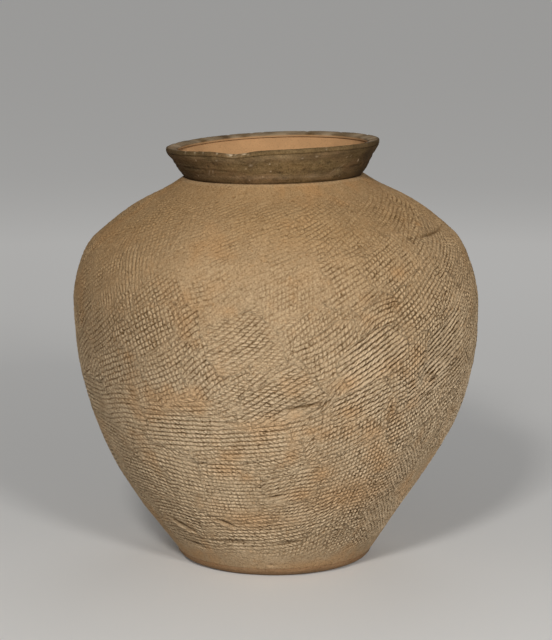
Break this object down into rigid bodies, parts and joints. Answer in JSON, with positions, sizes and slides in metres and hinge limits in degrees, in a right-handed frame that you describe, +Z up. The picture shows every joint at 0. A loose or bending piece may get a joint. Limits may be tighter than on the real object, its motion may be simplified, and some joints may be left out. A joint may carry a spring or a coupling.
{
  "type": "pottery jar",
  "caption": "Large round-shouldered earthenware storage jar with a flat base, short flaring neck, ledged lip and an all-over paddled lattice surface.",
  "frame": {"origin": "centre of the bottom of the jar's bounding box, on the resting face", "axes": "+Z up along the jar's axis, -Y towards the side shown in the picture, +X to the right of that view"},
  "size_m": [0.4039, 0.4038, 0.4205],
  "materials": {
    "body_clay": "unglazed buff earthenware printed all over by a carved paddle",
    "shoulder_clay": "unglazed buff earthenware, paddled and partly wiped smooth",
    "neck_clay": "unglazed dark brown earthenware, wiped smooth, orange inside",
    "lip_clay": "unglazed grey-brown earthenware, wiped and chipped",
    "slab_clay": "unglazed orange-buff earthenware, smooth"
  },
  "bodies": {
    "root": {"base_slab": "slab_clay", "foot_band": "body_clay", "lower_wall_band_1": "body_clay", "lower_wall_band_2": "body_clay", "lower_wall_band_3": "body_clay", "belly_band_1": "body_clay", "belly_band_2": "body_clay", "shoulder_band_1": "shoulder_clay", "shoulder_band_2": "shoulder_clay", "shoulder_band_3": "shoulder_clay", "neck_collar": "neck_clay", "rim_lip": "lip_clay"}
  },
  "joints": []
}
